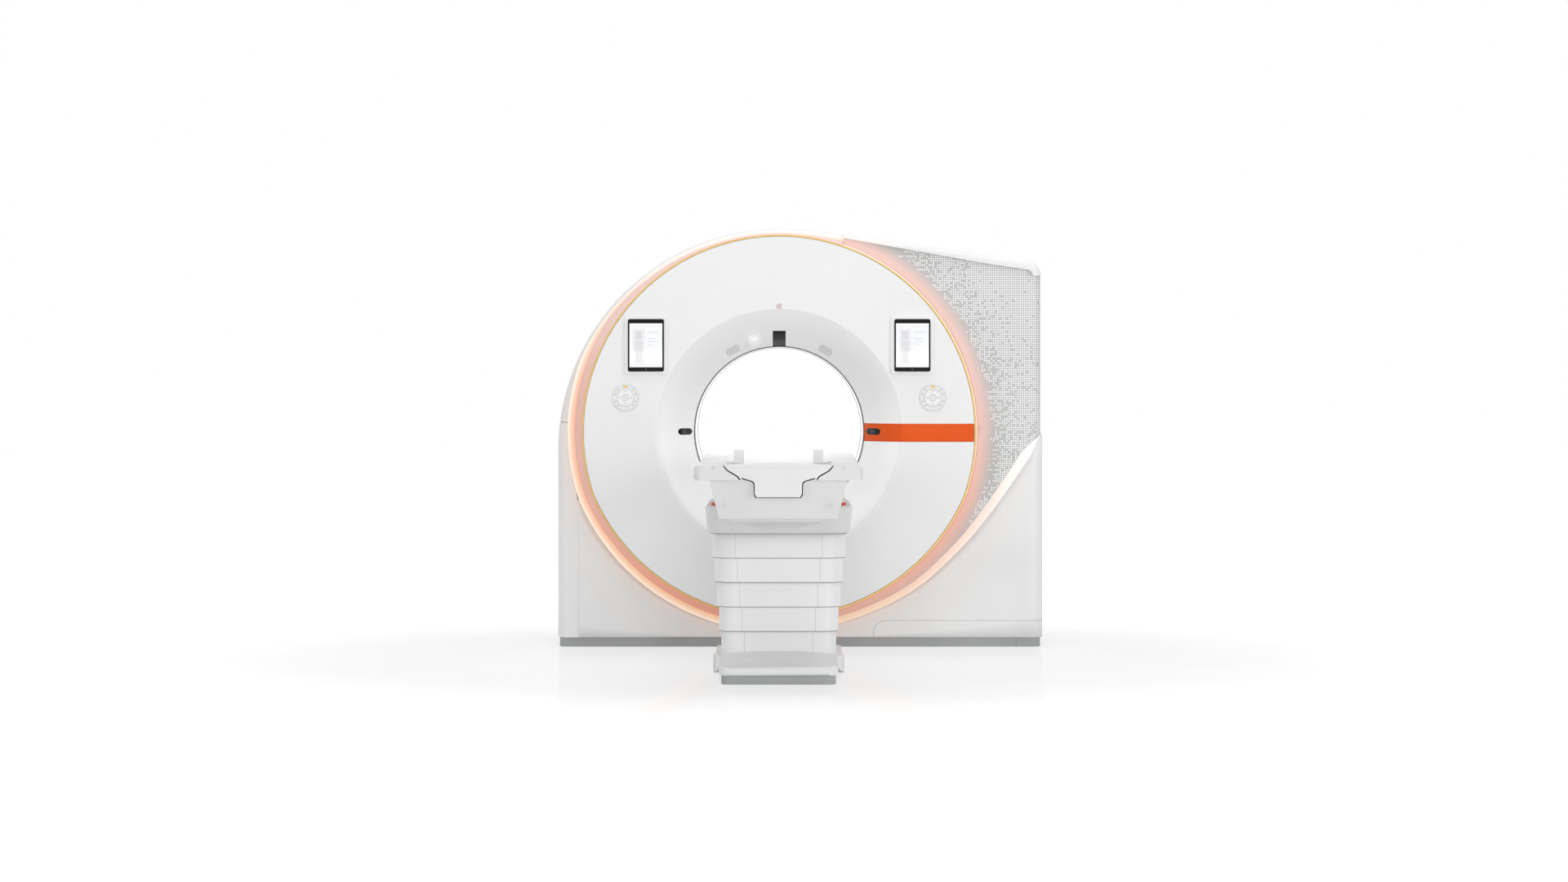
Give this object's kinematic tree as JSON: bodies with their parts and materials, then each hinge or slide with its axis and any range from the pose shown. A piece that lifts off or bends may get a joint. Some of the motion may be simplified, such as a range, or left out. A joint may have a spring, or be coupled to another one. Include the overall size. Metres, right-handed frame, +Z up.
{
  "type": "ct scanner",
  "caption": "Large-bore CT scanner: ring-shaped gantry with an asymmetric rounded housing and a patient table on a telescoping pedestal that slides into the bore.",
  "frame": {"origin": "on the floor, under the middle of the gantry's bore, half way through the housing's depth at the rotating part", "axes": "+X to the right as seen from the table's foot, +Y along the bore from the table into the gantry, +Z up"},
  "size_m": [2.354, 3.535, 2.034],
  "materials": {
    "cover_white": "satin paint",
    "front_white": "semi-gloss paint",
    "plinth_grey": "matt",
    "frame_steel": "matt",
    "bearing_steel": "machined",
    "brush_black": "matt",
    "cabinet_grey": "powder coat",
    "trim_gold": "gloss",
    "light_peach": "frosted, lit",
    "panel_grey": "satin, printed pattern",
    "side_grey": "satin",
    "window_dark": "satin",
    "bore_white": "satin",
    "ring_grey": "satin",
    "stripe_orange": "film",
    "black_gloss": "gloss",
    "dome_white": "translucent gloss",
    "grille_white": "perforated",
    "status_red": "gloss",
    "holder_white": "satin",
    "tablet_black": "glass front",
    "pad_white": "satin",
    "key_white": "satin",
    "rotor_aluminium": "machined",
    "tube_grey": "semi-gloss",
    "detector_grey": "powder coat",
    "generator_grey": "powder coat",
    "slip_brass": "polished tracks",
    "base_iron": "matt",
    "table_white": "satin paint",
    "bridge_grey": "satin",
    "pedestal_white": "satin paint",
    "column_steel": "ground",
    "strip_orange": "film",
    "top_white": "semi-gloss"
  },
  "bodies": {
    "gantry": {"plinth": "plinth_grey", "base_beams": "frame_steel", "gantry_frame": "frame_steel", "main_bearing": "bearing_steel", "brush_block": "brush_black", "power_cabinet": "cabinet_grey", "front_disc": "front_white", "trim_ring": "trim_gold", "light_ring": "light_peach", "front_panel": "panel_grey", "lower_front_cover": "cover_white", "left_cover": "cover_white", "upper_shell": "cover_white", "roof_cover": "cover_white", "right_upper_cover": "side_grey", "right_lower_cover": "cover_white", "rear_cover": "cover_white", "scan_window": "window_dark", "bore_liner": "bore_white", "rear_ring": "ring_grey", "accent_stripe": "stripe_orange", "laser_windows": "black_gloss", "camera_window": "black_gloss", "camera_dome": "dome_white", "speaker_grilles": "grille_white", "status_ring": "status_red", "holder_left": "holder_white", "holder_right": "holder_white", "tablet_left": "tablet_black", "tablet_right": "tablet_black", "pad_left": "pad_white", "pad_right": "pad_white", "table_base": "base_iron", "foot_plinth": "plinth_grey", "foot_cover": "table_white", "cable_bridge": "bridge_grey", "pedestal_5": "pedestal_white", "column_outer": "column_steel"},
    "rotor": {"rotor_drum": "rotor_aluminium", "xray_tube_a": "tube_grey", "xray_tube_b": "tube_grey", "detector_a": "detector_grey", "detector_b": "detector_grey", "generator": "generator_grey", "slip_ring": "slip_brass"},
    "table_lift": {"collar": "table_white", "table_frame": "table_white", "belly_cover": "table_white", "light_strips": "strip_orange", "column_inner": "column_steel"},
    "tabletop": {"tabletop": "top_white"},
    "pedestal_1": {"pedestal_1": "pedestal_white"},
    "pedestal_2": {"pedestal_2": "pedestal_white"},
    "pedestal_3": {"pedestal_3": "pedestal_white"},
    "pedestal_4": {"pedestal_4": "pedestal_white"},
    "column_mid": {"column_mid": "column_steel"},
    "start_key_left": {"start_key_left": "key_white"},
    "move_key_left": {"move_key_left": "key_white"},
    "start_key_right": {"start_key_right": "key_white"},
    "move_key_right": {"move_key_right": "key_white"}
  },
  "joints": [
    {"name": "rotor_spin", "type": "hinge", "parent": "gantry", "child": "rotor", "pos_m": [0, 0, 1.043], "axis": [0, 1, 0], "continuous": true},
    {"name": "table_lift", "type": "slide", "parent": "gantry", "child": "table_lift", "axis": [0, 0, 1], "range_m": [-0.42, 0]},
    {"name": "top_slide", "type": "slide", "parent": "table_lift", "child": "tabletop", "axis": [0, 1, 0], "range_m": [0, 1.6]},
    {"name": "pedestal_1_slide", "type": "slide", "parent": "gantry", "child": "pedestal_1", "axis": [0, 0, 1], "range_m": [-0.336, 0]},
    {"name": "pedestal_2_slide", "type": "slide", "parent": "gantry", "child": "pedestal_2", "axis": [0, 0, 1], "range_m": [-0.252, 0]},
    {"name": "pedestal_3_slide", "type": "slide", "parent": "gantry", "child": "pedestal_3", "axis": [0, 0, 1], "range_m": [-0.168, 0]},
    {"name": "pedestal_4_slide", "type": "slide", "parent": "gantry", "child": "pedestal_4", "axis": [0, 0, 1], "range_m": [-0.084, 0]},
    {"name": "column_mid_slide", "type": "slide", "parent": "gantry", "child": "column_mid", "axis": [0, 0, 1], "range_m": [-0.21, 0]},
    {"name": "start_key_left_press", "type": "slide", "parent": "gantry", "child": "start_key_left", "axis": [0, 1, 0], "range_m": [0, 0.0015], "stiffness_N_per_m": 1500, "springref_m": -0.001},
    {"name": "move_key_left_press", "type": "slide", "parent": "gantry", "child": "move_key_left", "axis": [0, 1, 0], "range_m": [0, 0.0015], "stiffness_N_per_m": 1500, "springref_m": -0.001},
    {"name": "start_key_right_press", "type": "slide", "parent": "gantry", "child": "start_key_right", "axis": [0, 1, 0], "range_m": [0, 0.0015], "stiffness_N_per_m": 1500, "springref_m": -0.001},
    {"name": "move_key_right_press", "type": "slide", "parent": "gantry", "child": "move_key_right", "axis": [0, 1, 0], "range_m": [0, 0.0015], "stiffness_N_per_m": 1500, "springref_m": -0.001}
  ],
  "couplings": [
    {"joint": "pedestal_1_slide", "follows": "table_lift", "ratio": 0.8},
    {"joint": "pedestal_2_slide", "follows": "table_lift", "ratio": 0.6},
    {"joint": "pedestal_3_slide", "follows": "table_lift", "ratio": 0.4},
    {"joint": "pedestal_4_slide", "follows": "table_lift", "ratio": 0.2},
    {"joint": "column_mid_slide", "follows": "table_lift", "ratio": 0.5}
  ]
}
